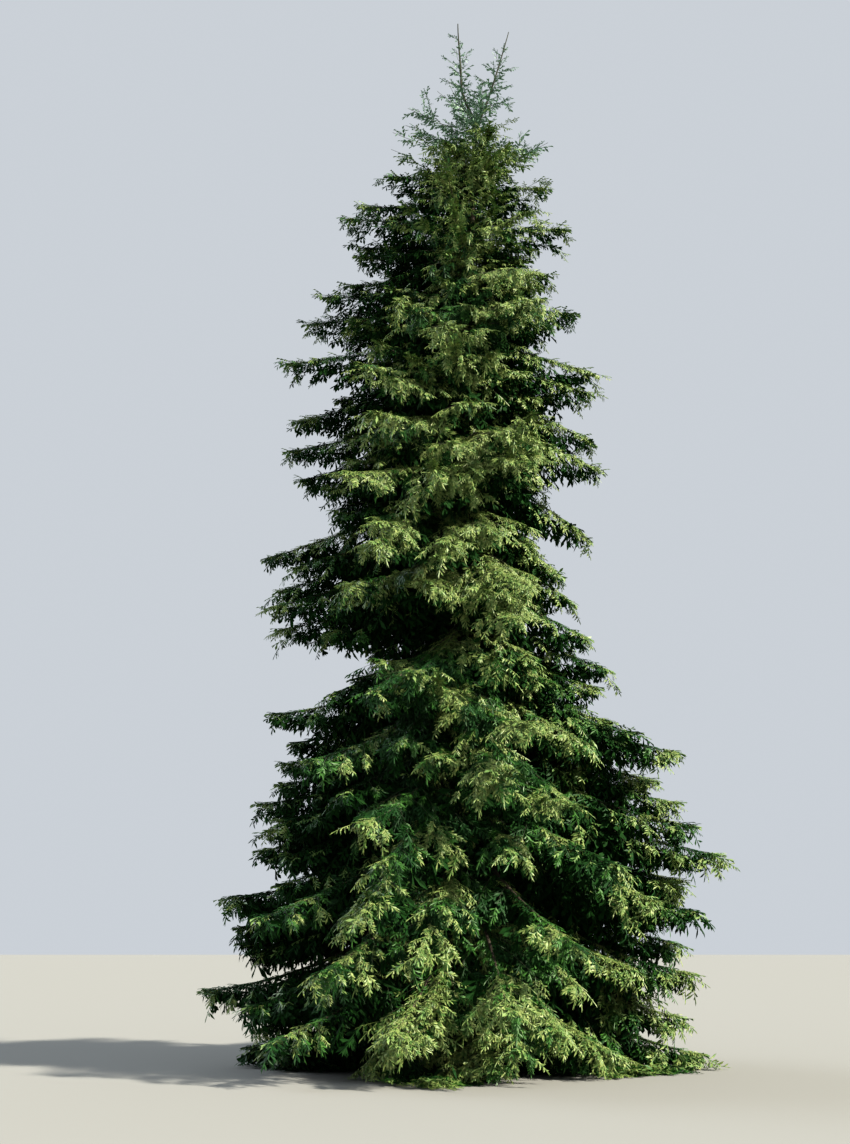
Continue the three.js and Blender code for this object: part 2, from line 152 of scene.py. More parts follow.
def boughLayout(level, heading):  # the boughs of a whorl at a heading
    whorl = whorls[level]
    rightShare = (1 + math.cos(math.radians(heading))) / 2
    tip = mixed(whorl["left"][0], whorl["right"][0], rightShare)
    reach = mixed(whorl["left"][1], whorl["right"][1], rightShare) / math.cos(math.radians(turned["whorl"]))
    drop = dropOf(tip, reach)
    return {"reach": reach, "tip": tip, "drop": drop, "root": tip + drop}

def boughHeight(level, heading, distance):
    layout = boughLayout(level, heading)
    share = min(distance / layout["reach"], fall["furthest"])
    return layout["root"] - layout["drop"] * share * slowing(share)

def hangBelow(level, heading, distance):  # how far foliage may hang below a whorl's boughs
    layout = boughLayout(level, heading)
    share = level / topWhorl
    nearTip = smooth(distance / layout["reach"], mixed(*room["thinsFrom"], share), 1)
    thinner = mixed(1, mixed(*room["tipHang"], share), nearTip)
    if level == 0:
        return room["lowestHang"] * thinner
    gap = layout["root"] - boughLayout(level - 1, heading)["root"]
    return whorls[level].get("hang", room["hang"]) * gap * thinner

def massAt(level, index):  # the heading and the room of one mass of foliage, by the solids' seeded rule
    levelSeed = treeSeed + seedSteps["level"] * level
    draw = drawsFrom(levelSeed)
    turn = turned["whorl"] if level % 2 else -turned["whorl"]
    headings = [90 * side + turn + turned["bough"] * eitherWay(draw) for side in range(4)]
    before = headings[index - 1] - (360 if index == 0 else 0)
    after = headings[(index + 1) % 4] + (360 if index == 3 else 0)
    return {
        "level": level, "heading": headings[index],
        "rightRoom": (headings[index] - before) / 2,
        "leftRoom": (after - headings[index]) / 2,
        "centreX": trunkLine(boughLayout(level, 90)["root"]).x,
        "atEdge": sideNames[index] in ("right", "left"), "side": sideNames[index],
        "seed": levelSeed + seedSteps["bough"] * (index + 1),
    }

# The boughs of a mass: each one's turn, as a share of the room to that side; how far it runs below the top of
# the room, as a share of its depth; and its reach, as a share of what the room leaves. From here on a pair
# noted as "edge" is for boughs inside the crown and for those at its left and right edges
growth = {
    "boughs": [
        (0.0, 0.0, 1.0), (0.58, 0.12, 0.98), (-0.62, 0.2, 0.97), (0.22, 0.4, 0.96), (-0.24, 0.54, 0.94),
        (0.1, 0.8, 0.9),
    ],
    "withinEdge": {"left": 0.82, "right": 0.66},  # over the edge whorls the masses come inside the outline
    "edgeWhorls": (2, 5), "topReach": 0.74, "topWhorls": (9.5, 11), "turnStray": 0.14,
    "lowerStray": (0.26, 0.07),  # edge
    "lowerStrayAtTop": 0.5,
    "reachStray": (0.15, 0.06),  # edge
    "tilt": (0.3, 0.06),  # edge
    "tiltsAbout": 0.4, "towardsNext": 0.6, "sway": 3.0, "waves": 3.2, "phases": 6.3, "lowest": 0.06,
    "roll": (20, 7),  # edge
    "smallerAtTop": 0.68, "outlineLower": 0.1, "leastSwing": 0.2, "bareLength": 0.12,
    "clearOfTrunk": 1.6,  # trunk radii
}
bareBough = {"whorls": 2, "length": 0.62, "leafyFrom": 0.8, "rootRadius": 0.046, "uppermost": 0.12}
# The outline of one bough from above, half its width along it
boughWidth = {
    "widest": 0.26, "widerByLength": 0.09, "narrowest": 0.42, "widestAt": 0.3, "rounding": (0.5, 0.55),
    "tip": 0.03,
}
# More boughs between the whorls, each with tip height and reach. Those on the left and right are the crown's
# outline from the ground up, with a few that fill it low down; the others fill the front and the back
edgeBoughs = {
    "left": [
        (0.2, 2.5), (0.85, 2.92), (1.35, 2.6), (1.85, 2.7), (2.4, 2.4), (2.9, 2.4), (3.4, 2.15),
        (3.93, 2.25), (4.42, 1.35), (4.72, 1.15), (5, 2.2), (5.22, 2.3), (5.47, 2.25), (5.7, 2.05),
        (5.92, 2.42), (6.38, 1.55), (6.84, 2), (7.13, 2.12), (7.66, 2.08), (8.22, 2.15), (8.92, 1.95),
        (9.12, 1.7), (9.4, 1.42), (9.68, 1.3), (9.9, 1.25), (10.18, 1.46), (10.5, 1.27), (10.8, 0.92),
        (3.66, 2.05), (3.14, 2.15), (2.62, 2.3),
    ],
    "right": [
        (0.15, 2.62), (0.55, 2.4), (1.02, 2.52), (1.35, 2.4), (1.7, 2.6), (2.05, 2.5), (2.33, 2.86),
        (2.95, 2.52), (3.5, 2.48), (3.88, 1.75), (4.25, 1.55), (4.52, 1.72), (4.83, 1.45), (5.3, 1.3),
        (5.6, 1.15), (6.13, 1.52), (6.87, 1.64), (7.33, 1.6), (7.88, 1.55), (8.25, 1.65), (8.85, 1.38),
        (9.5, 1.08), (10.05, 1.3), (10.67, 1.08), (3.72, 2), (3.22, 2.25), (2.65, 2.62), (1.88, 2.45),
    ],
    "front": [
        (0.5, 2.45), (1.3, 2.4), (2.15, 2.35), (3.1, 2.15), (3.95, 1.95), (4.75, 1.8), (5.6, 1.8),
        (6.5, 1.75), (7.5, 1.7), (8.5, 1.6), (9.2, 1.35), (9.75, 1.25), (10.25, 1.2), (10.6, 1.05),
        (10.85, 0.85), (11.05, 0.75),
    ],
    "frontLeft": [
        (0.42, 2.95), (1.1, 2.75), (1.62, 2.85), (2.55, 2.5), (3.25, 2.35), (3.95, 1.8), (5.2, 2),
        (5.8, 2.1), (6.45, 2.1), (7.1, 2.05), (7.75, 1.95), (8.45, 1.85),
    ],
    "back": [
        (0.55, 2.5), (1.45, 2.4), (2.3, 2.3), (3.2, 2.1), (4.35, 1.95), (5.4, 1.85), (6.6, 1.75),
        (7.55, 1.7), (8.45, 1.6), (9.45, 1.4), (10.45, 1.15),
    ],
}
# Their headings, how far they turn off them, and how much higher they run at the bend heights
edges = {
    "left": {"heading": 180, "turn": 9, "bend": (-0.06, 0.03, 0.03, 0.0), "thin": True},
    "right": {"heading": 0, "turn": 9, "bend": (-0.03, 0.2, 0.2, 0.03), "thin": True},
    "front": {"heading": -90, "turn": 30, "bend": (0.03, 0.05, 0.05, 0.05), "thin": False},
    "frontLeft": {"heading": -127, "turn": 12, "bend": (0.0, 0.0, 0.0, 0.0), "thin": False},
    "back": {"heading": 90, "turn": 30, "bend": (0.03, 0.05, 0.05, 0.05), "thin": False},
}
bendHeights = (4.3, 5.4, 6.3, 8.5)
# Limbs are tubes of a few straight steps, thicker at the root the longer they are
limbForms = {
    "bough": {"piece": "bough", "steps": 14, "radius": 0.005, "byLength": 0.006, "tip": 0.003, "taper": 0.7},
    "twig": {"piece": "twig", "steps": 3, "radius": 0.002, "byLength": 0.005, "tip": 0.0015, "taper": 1},
    "shoot": {"piece": "twig", "steps": 6, "radius": 0.002, "byLength": 0.004, "tip": 0.0028, "taper": 1},
}
# Which needles a spray has goes by the light there: young ones at the sunny ends, older ones further in.
# Their greens are also painted light: the fresh green is painted sunlight, the mature, shaded and inner
# greens are painted half shade, shade and deep shade
needleLight = {
    "outer": 0.5, "twigEnd": 0.3, "below": 0.55, "depth": 1.25, "lessDepth": 0.6, "stray": 0.5,
    "sunSide": 0.38, "sunHeading": -70, "shadeSide": 0.55, "shadeHeading": 172, "evenerInShade": 0.3,
    "heights": (0.3, 1.0, 3.0, 4.6, 5.6, 7.2, 8.4, 9.8, 11),
    "atHeight": (-0.04, -0.26, -0.36, -0.3, 0.75, 0.65, 0.1, 0.1, 0.4), "clumps": 1.5,
    "clumpSize": 490,  # mm
}
leastLight = {"fresh": 0.38, "mature": 0.1, "shaded": -0.35, "inner": -9}
# How far sprays stray from their aim, and their upper sides from where they should face
strays = {
    "sprig": (0.28, 0.5), "hanging": (0.25, 0.7), "twigEnd": (0, 0.4), "twigPoint": (0.15, 0.6),
    "ridge": (0.15, 0.4), "onLimb": (0.1, 0.3), "boughEnd": (0, 0.2), "boughPoint": (0.08, 0.6),
    "lining": (0.4, 0.7), "shoot": (0.25, 0.8), "shootEnd": (0, 0.5),
}
zones = [
    {"name": "foot", "whorls": (0, 1)},
    {"name": "lower", "whorls": (2, 3)},
    {"name": "middle", "whorls": (4, 6)},
    {"name": "upper", "whorls": (7, 9)},
    {"name": "top", "whorls": (10, 11)},
]
sprayForms = 6
onGround = 0.02
sprays = {}
limbs = {}

def zoneOf(level):
    return next(number for number, zone in enumerate(zones) if level <= zone["whorls"][1])

def strayed(vector, amount, draw):
    return vector + Vector((draw() - 0.5, draw() - 0.5, draw() - 0.5)) * 2 * amount

def addSpray(zone, kind, point, along, raised, size, draw):
    if point.z < onGround:
        return
    along = along.normalized()
    if point.z + along.z * size < 0:  # lies down on the ground
        along = Vector((along.x, along.y, -point.z / size)).normalized()
    spray = {"point": point, "along": along, "raised": raised, "size": size, "pick": int(draw() * sprayForms)}
    sprays.setdefault((zone, kind), []).append(spray)

def addLimb(zone, kind, at, length, start=0, rootRadius=None):
    form = limbForms[kind]
    shares = [step / form["steps"] for step in range(form["steps"] + 1)]
    thick = rootRadius or form["radius"] + form["byLength"] * length
    points = [at(mixed(start, 1, share)) for share in shares]
    radii = [mixed(thick, form["tip"], share ** form["taper"]) for share in shares]
    limbs.setdefault((zone, form["piece"]), []).append((points, radii))

def facing(bough, heading):
    return math.cos(math.radians(bough["heading"] - heading))

def clumpAt(point):  # above 0 where foliage stands out in a clump, below 0 in the hollows
    return noise.noise(point * 1000 / needleLight["clumpSize"])

# A spray's colour by a light value worked out from its place: the colour it gets is painted light and shade
def sprayKind(bough, point, share, part, draw, deeper=0):
    look = needleLight
    # painted shade: darker lower in the mass, most near the trunk, and darker still for hanging sprays
    below = bough["lower"] * (look["depth"] - look["lessDepth"] * share) + deeper
    light = look["outer"] * share + look["twigEnd"] * part - look["below"] * below
    light += look["stray"] * (draw() - 0.5)
    # painted sunlight on the side that faces the key light, painted shade on the side turned away and on the
    # shaded left side
    sunny = (1 + facing(bough, look["sunHeading"])) / 2
    light += look["sunSide"] * (2 * sunny - 1)
    light -= look["shadeSide"] * max(facing(bough, look["shadeHeading"]), 0)
    # painted light by height, weaker on the shaded side, and painted shade in the hollows between clumps
    byHeight = np.interp(point.z, look["heights"], look["atHeight"])
    light += byHeight * mixed(look["evenerInShade"], 1, sunny) + look["clumps"] * clumpAt(point)
    return next(kind for kind, least in leastLight.items() if light > least)

def boughAlong(line, level, heading, lower, reach, atEdge, draw):
    height = level / topWhorl
    return {
        "line": line,
        "zone": zoneOf(level), "level": level, "height": height, "heading": heading, "lower": lower,
        "reach": reach, "atEdge": atEdge,
        "scale": mixed(1, growth["smallerAtTop"], height),
        "roll": math.radians(growth["roll"][atEdge] * eitherWay(draw)),
    }

def lineOf(centreX, heading, reach, heightAt, draw):  # a bough's swaying line by the share of its length
    sway = growth["sway"] * eitherWay(draw)
    phase = growth["phases"] * draw()

    def line(share):
        distance = share * reach
        angle = math.radians(heading + sway * math.sin(growth["waves"] * share + phase))
        z = max(heightAt(distance, share), growth["lowest"])
        return Vector((centreX + math.cos(angle) * distance, math.sin(angle) * distance, z))

    return line

def boughIn(mass, turn, lower, reachShare, draw):  # one bough of a mass
    level = mass["level"]
    atEdge = mass["atEdge"]
    turn += growth["turnStray"] * eitherWay(draw)
    strayHere = mixed(1, growth["lowerStrayAtTop"], level / topWhorl)
    lower += growth["lowerStray"][atEdge] * strayHere * eitherWay(draw)
    tilt = growth["tilt"][atEdge] * eitherWay(draw)
    offset = turn * (mass["leftRoom"] if turn > 0 else mass["rightRoom"])
    heading = mass["heading"] + offset
    slant = math.radians(abs(offset))
    planShare = (room["closing"] + room["tipWidth"]) / (math.sin(slant) + room["closing"] * math.cos(slant))
    ownReach = boughLayout(level, heading)["reach"]
    nextReach = boughLayout(max(level - 1, 0), heading)["reach"]
    reach = mixed(ownReach, nextReach, growth["towardsNext"] * min(max(lower, 0), 1))
    reach = reach * min(planShare, 1) * reachShare
    reach *= 1 - growth["reachStray"][atEdge] * draw() * (reachShare < 1)
    reach *= mixed(1, growth["topReach"], smooth(level, *growth["topWhorls"]))
    if atEdge:
        reach *= mixed(1, growth["withinEdge"][mass["side"]], smooth(level, *growth["edgeWhorls"]))

    def heightAt(distance, share):
        tilted = tilt * distance * (share - growth["tiltsAbout"])
        return boughHeight(level, heading, distance) - (lower * hangBelow(level, heading, distance) + tilted)

    line = lineOf(mass["centreX"], heading, reach, heightAt, draw)
    return boughAlong(line, level, heading, lower, reach, atEdge, draw)

def boughAtEdge(name, tip, reach, swing, draw):  # one bough between the whorls, by their own rule of fall
    edge = edges[name]
    turn = edge["turn"] * swing * between((growth["leastSwing"], 1), draw)
    heading = edge["heading"] + turn
    centreX = trunkLine(tip).x
    bend = np.interp(tip, bendHeights, edge["bend"])
    reach = (reach - centreX * math.cos(math.radians(edge["heading"]))) / math.cos(math.radians(turn))
    drop = dropOf(tip, reach)

    def heightAt(distance, share):
        return tip + drop * (1 - share * slowing(share)) + bend * reach * (1 - share ** 3)

    def awayFrom(number):
        return abs(boughLayout(number, edge["heading"])["tip"] - tip)

    level = min(range(len(whorls)), key=awayFrom)
    line = lineOf(centreX, heading, reach, heightAt, draw)
    return boughAlong(line, level, heading, growth["outlineLower"], reach, edge["thin"], draw)

def directionsAt(bough, share, near=0.02):  # forward along the bough and across it
    line = bough["line"]
    forward = (line(min(share + near, 1)) - line(share - near)).normalized()
    sideways = up.cross(forward).normalized()
    across = sideways * math.cos(bough["roll"]) + forward.cross(sideways) * math.sin(bough["roll"])
    return forward, across

def halfWidthAt(bough, share):
    form = boughWidth
    widest = min(form["widest"] + form["widerByLength"] * bough["reach"], form["narrowest"] * bough["reach"])
    rising = min(share / form["widestAt"], 1) ** form["rounding"][0]
    return widest * rising * (1 - share) ** form["rounding"][1] + form["tip"]

# Twigs to both sides of a bough, with sprigs along them and more that hang. A pair without a note is for the
# lowest and the highest whorl, and one whose key ends in Varies is the least and the most
twigs = {
    "step": (0.12, 0.095),  # edge
    "stepVaries": (0.75, 1.25), "until": 0.985,
    "gapBelow": (-0.2, -0.45),  # hollows without twigs: further in, and near the tip
    "gapsClose": (0.7, 0.9), "angle": 54, "angleStray": 20, "droop": (0.52, 0.18),
    "droopVaries": (0.5, 1.4), "droopAtEdge": 0.8, "droopPower": 1.7,
    "stiffer": (1.25, 0.4),  # at the trunk, and at the tip
    "lengthVaries": (0.55, 1.25), "lowest": 0.03,
}
sprigs = {
    "from": (0.1, 0.22), "until": 0.97, "step": 0.088, "stepVaries": (0.8, 1.2), "thinInside": 0.45,
    "thinStep": 1.6, "angle": 46, "angleVaries": (0.7, 1.3), "droop": (0.5, 0.12),
    "droopVaries": (0.2, 1.8), "size": 0.265, "sizeVaries": (0.75, 1.15), "smallerAtTip": 0.8,
    "endSizeVaries": (0.7, 1.0), "point": 0.2, "pointAt": 0.8, "pointRise": 0.35,
}
hanging = {
    "share": (0.85, 0.35), "from": 0.15,
    "size": (0.3, 0.21),  # edge
    # darker: painted shade on the sprays that hang under a bough
    "sizeVaries": (0.7, 1.1), "outwards": 0.35, "sideways": 0.25, "darker": 0.35,
    "fewerAtEdge": (0.3, 0.8),  # at the trunk, and at the tip
}

def growTwig(bough, share, side, draw):
    zone = bough["zone"]
    height = bough["height"]
    forward, across = directionsAt(bough, share)
    normal = forward.cross(across).normalized()
    outward = Vector((forward.x, forward.y, 0)).normalized()
    angle = math.radians(twigs["angle"] + twigs["angleStray"] * eitherWay(draw))
    direction = forward * math.cos(angle) + across * side * math.sin(angle)
    length = halfWidthAt(bough, share) / math.sin(angle) * between(twigs["lengthVaries"], draw)
    edgeShare = smooth(bough["level"], *growth["edgeWhorls"]) * bough["atEdge"]
    leastDroop, mostDroop = twigs["droopVaries"]
    mostDroop += twigs["droopAtEdge"] * edgeShare
    droop = mixed(*twigs["droop"], height) * between((leastDroop, mostDroop), draw)
    droop *= mixed(*twigs["stiffer"], share)
    start = bough["line"](share)

    def at(part):
        point = start + direction * length * part - up * droop * length * part ** twigs["droopPower"]
        return Vector((point.x, point.y, max(point.z, twigs["lowest"])))

    addLimb(zone, "twig", at, length)
    flank = side
    part = between(sprigs["from"], draw)
    while part < sprigs["until"]:
        spacing = mixed(sprigs["thinStep"], 1, min(share / sprigs["thinInside"], 1))
        along = (at(part + 0.03) - at(part - 0.03)).normalized()
        sideways = normal.cross(along).normalized() * flank
        angle = math.radians(sprigs["angle"] * between(sprigs["angleVaries"], draw))
        sag = mixed(*sprigs["droop"], height) * between(sprigs["droopVaries"], draw)
        aim = along * math.cos(angle) + sideways * math.sin(angle) - up * sag
        aim = strayed(aim, strays["sprig"][0], draw)
        size = sprigs["size"] * bough["scale"] * between(sprigs["sizeVaries"], draw)
        size *= mixed(1, sprigs["smallerAtTip"], share)
        kind = sprayKind(bough, at(part), share, part, draw)
        addSpray(zone, kind, at(part), aim, strayed(normal, strays["sprig"][1], draw), size, draw)
        fewer = 1 - edgeShare * mixed(*hanging["fewerAtEdge"], share)
        if draw() < mixed(*hanging["share"], height) * fewer and share > hanging["from"]:
            aim = outward * hanging["outwards"] + sideways * hanging["sideways"] - up
            aim = strayed(aim, strays["hanging"][0], draw)
            size = mixed(*hanging["size"], edgeShare) * bough["scale"] * between(hanging["sizeVaries"], draw)
            kind = sprayKind(bough, at(part), share, part, draw, hanging["darker"])
            addSpray(zone, kind, at(part), aim, strayed(outward, strays["hanging"][1], draw), size, draw)
        flank = -flank
        part += spacing * sprigs["step"] * between(sprigs["stepVaries"], draw) / length
    along = (at(1) - at(0.94)).normalized()
    size = sprigs["size"] * bough["scale"] * between(sprigs["endSizeVaries"], draw)
    kind = sprayKind(bough, at(1), share, 1, draw)
    addSpray(zone, kind, at(0.97), along, strayed(normal, strays["twigEnd"][1], draw), size, draw)
    if bough["atEdge"]:
        aim = strayed(along + up * sprigs["pointRise"], strays["twigPoint"][0], draw)
        raised = strayed(up, strays["twigPoint"][1], draw)
        addSpray(zone, "slender", at(sprigs["pointAt"]), aim, raised, sprigs["point"] * bough["scale"], draw)

def growTwigs(bough, bare, draw):
    side = 1 if draw() > 0.5 else -1
    share = bare
    while share < twigs["until"]:
        gap = mixed(*twigs["gapBelow"], smooth(share, *twigs["gapsClose"]))
        if bough["atEdge"] or clumpAt(bough["line"](share)) > gap:
            growTwig(bough, share, side, draw)
        side = -side
        share += twigs["step"][bough["atEdge"]] * between(twigs["stepVaries"], draw) / bough["reach"]
    return side

# Short sprays along the top of a bough hide the limb
ridge = {
    "step": 0.055, "stepVaries": (0.7, 1.3), "size": 0.21, "sizeVaries": (0.75, 1.15), "forward": 0.75,
    "acrossVaries": (0.2, 0.9), "rise": 0.12, "endsBefore": 0.08, "onLimb": 0.15, "onLimbAcross": 0.2,
    "aboveLimb": 0.012,
}

def coverRidge(bough, bare, side, draw):
    zone = bough["zone"]
    line = bough["line"]
    share = bare * 0.5
    while share < 1 - ridge["endsBefore"] / bough["reach"]:
        forward, across = directionsAt(bough, share)
        sideways = across * side * between(ridge["acrossVaries"], draw)
        aim = strayed(forward * ridge["forward"] + sideways + up * ridge["rise"], strays["ridge"][0], draw)
        size = ridge["size"] * bough["scale"] * between(ridge["sizeVaries"], draw)
        kind = sprayKind(bough, line(share), share, 0.5, draw)
        addSpray(zone, kind, line(share), aim, strayed(up, strays["ridge"][1], draw), size, draw)
        aim = forward + across * side * ridge["onLimbAcross"] + up * ridge["rise"]
        aim = strayed(aim, strays["onLimb"][0], draw)
        point = line(share) + up * ridge["aboveLimb"]
        addSpray(zone, kind, point, aim, strayed(up, strays["onLimb"][1], draw), ridge["onLimb"], draw)
        side = -side
        share += ridge["step"] * between(ridge["stepVaries"], draw) / bough["reach"]

# Three sprays of the fresh green, which is also painted sunlight, and three slender ones make the pointed end
# of a bough
boughEnd = {"size": 0.17, "back": 0.2, "rise": 0.08, "spread": 0.35}
boughPoint = {"size": 0.22, "back": 0.16, "rise": 0.1}

def growEnd(bough, draw):
    tip = bough["line"](1)
    forward, across = directionsAt(bough, 0.98)
    for number in range(3):
        start = tip - forward * boughEnd["back"]
        aim = forward + up * boughEnd["rise"] + across * boughEnd["spread"] * (number - 1)
        raised = strayed(up, strays["boughEnd"][1], draw)
        addSpray(bough["zone"], "fresh", start, aim, raised, boughEnd["size"], draw)
    for number in range(3):
        start = tip - forward * boughPoint["back"]
        aim = strayed(forward + up * boughPoint["rise"], strays["boughPoint"][0], draw)
        raised = strayed(up, strays["boughPoint"][1], draw)
        addSpray(bough["zone"], "slender", start, aim, raised, boughPoint["size"], draw)

# Old foliage inside and below a bough, so that no light comes through, in a near-black green that is painted
# deep shade
lining = {
    "step": (0.06, 0.02),  # edge
    "stepVaries": (0.7, 1.3),
    "size": (0.32, 0.39),  # edge
    "sizeVaries": (0.7, 1.1),
    "until": (0.84, 0.93),  # edge
    "within": 0.75, "belowVaries": (0.02, 0.3), "lowerAside": 0.4, "slimmer": (1.7, 0.1), "forward": 0.8,
    "down": 0.4, "sparserAtTop": 1.2, "sparserWhorls": (8.5, 11),
}

def growLining(bough, bare, draw):
    atEdge = bough["atEdge"]
    share = bare
    while share < lining["until"][atEdge]:
        forward, across = directionsAt(bough, share)
        sideways = lining["within"] * halfWidthAt(bough, share) * eitherWay(draw)
        slimmer = min(lining["slimmer"][0] * (1 - share) + lining["slimmer"][1], 1)
        depth = abs(sideways) * lining["lowerAside"] + between(lining["belowVaries"], draw) * slimmer
        point = bough["line"](share) + across * sideways - up * depth
        aim = forward * lining["forward"] + across * sideways - up * lining["down"] * slimmer
        aim = strayed(aim, strays["lining"][0], draw)
        size = lining["size"][atEdge] * math.sqrt(slimmer) * bough["scale"]
        size *= between(lining["sizeVaries"], draw)
        raised = strayed(up + forward * 0.5, strays["lining"][1], draw)
        addSpray(bough["zone"], "inner", point, aim, raised, size, draw)
        sparser = 1 + lining["sparserAtTop"] * smooth(bough["level"], *lining["sparserWhorls"])
        share += lining["step"][atEdge] * sparser * between(lining["stepVaries"], draw) / bough["reach"]

def growBough(bough, draw):
    low = bough["level"] < bareBough["whorls"]
    uppermost = low and bough["lower"] < bareBough["uppermost"]
    first = trunkRadius(bough["line"](0).z) / bough["reach"]
    rootRadius = bareBough["rootRadius"] if uppermost else None
    addLimb(bough["zone"], "bough", bough["line"], bough["reach"], first * 0.5, rootRadius)
    bareLength = bareBough["length"] * bareBough["leafyFrom"] if low else growth["bareLength"]
    bare = max(bareLength, first * bough["reach"] * growth["clearOfTrunk"]) / bough["reach"]
    side = growTwigs(bough, bare, draw)
    coverRidge(bough, bare, side, draw)
    growEnd(bough, draw)
    growLining(bough, bare, draw)

# The thin top: twiggy shoots between the uppermost whorl and the leaders, all turned by the golden angle
crownShoots = {
    "count": 18, "height": (10.8, 11.4), "length": (0.85, 0.4), "lengthVaries": (0.75, 1.1), "rise": 0.3,
    "riseVaries": (0.4, 1.4), "shorterRight": 0.62,
}
goldenAngle = 137.5
leaders = [
    {"line": trunkLine, "from": 11.4, "to": 12.97, "longest": 0.34, "step": 0.03},
    {"line": secondLeaderLine, "from": 11.8, "to": 12.85, "longest": 0.36, "step": 0.028},
]
# The long shoots that stand out against the sky: the leader's number, root height, heading, length, rise and
# how many shoots stand up on it
longShoots = [
    (0, 10.85, 180, 1.05, 0.10, 0),
    (0, 11.10, 186, 0.95, 0.14, 0),
    (0, 11.30, 172, 0.96, 0.16, 0),
    (0, 11.48, 180, 0.96, 0.18, 2),
    (0, 11.70, 196, 0.50, 0.40, 0),
    (0, 12.05, 165, 0.30, 0.70, 0),
    (0, 12.35, 185, 0.20, 0.60, 0),
    (0, 12.50, 8, 0.16, 0.60, 0),
    (0, 10.88, -4, 1.10, 0.24, 0),
    (0, 11.10, 10, 0.80, 0.16, 1),
    (1, 11.78, 4, 0.42, 0.22, 0),
    (1, 12.00, -12, 0.30, 0.20, 0),
    (1, 12.30, 6, 0.22, 0.25, 0),
    (0, 11.25, -80, 0.70, 0.30, 1),
    (0, 11.50, -120, 0.60, 0.35, 0),
    (0, 11.20, 80, 0.85, 0.20, 2),
    (0, 11.60, 115, 0.60, 0.35, 1),
]
# Pairs are for the foot and the tip of a leader, or the least and the most
leaderShoots = {
    "shortest": 0.09, "lengthVaries": (0.5, 1.1), "shortAbove": 0.8, "rise": (0.15, 1.5),
    "riseVaries": (0.6, 1.4), "stepVaries": (0.7, 1.3), "sparserAtTip": 2.2, "bareTip": 0.2,
    "onLeader": 0.19, "onLeaderRiseVaries": (0.2, 1.2), "leafyBelow": 12.3,
}
# Pairs are for the two thin heights, or the least and the most
shoots = {
    "wave": 0.12, "upturn": 0.15, "from": 0.06,
    "leafyPart": 0.8,  # long shoots end in a bare point
    "shortLeafyPart": 0.97, "bareFrom": 0.28, "thinHeights": (11.0, 12.2), "step": 0.05,
    "sparser": (0.9, 1.1), "spread": (0.6, 0.4), "sprig": (0.19, 0.11), "sprigVaries": (0.6, 1.2),
    "smallerAlong": (1.1, 0.7),  # at the root, and at the tip
    "endSprig": 0.08, "bluishAbove": 11.1, "branchFrom": 0.32,
    "branches": (0.2, 0.9),  # from and until
    "branchStep": 0.12, "branchStepVaries": (0.7, 1.3), "branchLength": 0.38, "standing": 0.32,
    "standingVaries": (0.8, 1.1),
    "standingAt": (0.7, 0.5),  # the first and the second one
}

def shorterRight(heading):  # the top has thinned out on the right
    return 1 - crownShoots["shorterRight"] * max(math.cos(math.radians(heading)), 0)

def aimAt(heading, rise):
    angle = math.radians(heading)
    return Vector((math.cos(angle), math.sin(angle), rise)).normalized()

def growShoot(start, aim, length, standing, draw):
    zone = zoneOf(topWhorl)
    wave = strayed(Vector((0, 0, 0)), shoots["wave"] * length, draw)

    def at(part):
        upturn = up * shoots["upturn"] * length * part ** 2
        return start + aim * length * part + upturn + wave * math.sin(5 * part)

    addLimb(zone, "shoot", at, length)
    across = up.cross(aim).normalized()
    side = 1
    part = shoots["from"]
    leafy = shoots["leafyPart"] if length > shoots["bareFrom"] else shoots["shortLeafyPart"]
    while part < leafy:
        point = at(part)
        thinness = smooth(point.z, *shoots["thinHeights"])
        spread = strayed(aim + across * side * mixed(*shoots["spread"], thinness), strays["shoot"][0], draw)
        bluish = point.z + 0.5 * (part + draw() - 1) > shoots["bluishAbove"]
        kind = "bluish" if bluish else "slender"
        size = mixed(*shoots["sprig"], thinness) * between(shoots["sprigVaries"], draw)
        size *= mixed(*shoots["smallerAlong"], part)
        addSpray(zone, kind, point, spread, strayed(up, strays["shoot"][1], draw), size, draw)
        side = -side
        part += shoots["step"] * mixed(*shoots["sparser"], thinness) / length
    end = at(leafy - 0.05)
    addSpray(zone, kind, end, aim, strayed(up, strays["shootEnd"][1], draw), shoots["endSprig"], draw)
    part = shoots["branches"][0]
    while length > shoots["branchFrom"] and part < shoots["branches"][1]:
        sideways = strayed(aim + across * side * 1.1 + up * 0.1, 0.25, draw).normalized()
        growShoot(at(part), sideways, shoots["branchLength"] * length * (1.05 - part), 0, draw)
        side = -side
        part += shoots["branchStep"] * between(shoots["branchStepVaries"], draw) / length
    for number in range(standing):
        upward = strayed(aim * 0.3 + up, 0.15, draw).normalized()
        root = at(mixed(*shoots["standingAt"], number))
        growShoot(root, upward, shoots["standing"] * between(shoots["standingVaries"], draw), 0, draw)

def growLeader(leader, draw):
    look = leaderShoots
    line = leader["line"]
    height = leader["from"]
    turn = 360 * draw()
    while height < leader["to"] - look["bareTip"]:
        share = (height - leader["from"]) / (leader["to"] - leader["from"])
        rise = mixed(*look["rise"], share ** 1.5) * between(look["riseVaries"], draw)
        long = leader["longest"] * max(1 - share / look["shortAbove"], 0) ** 0.6
        length = max(long, look["shortest"]) * between(look["lengthVaries"], draw) * shorterRight(turn)
        growShoot(line(height), aimAt(turn, rise), length, 0, draw)
        if height < look["leafyBelow"]:
            aim = aimAt(turn + 180, between(look["onLeaderRiseVaries"], draw))
            addSpray(zoneOf(topWhorl), "bluish", line(height), aim, up, look["onLeader"], draw)
        height += leader["step"] * between(look["stepVaries"], draw) * mixed(1, look["sparserAtTip"], share)
        turn += goldenAngle

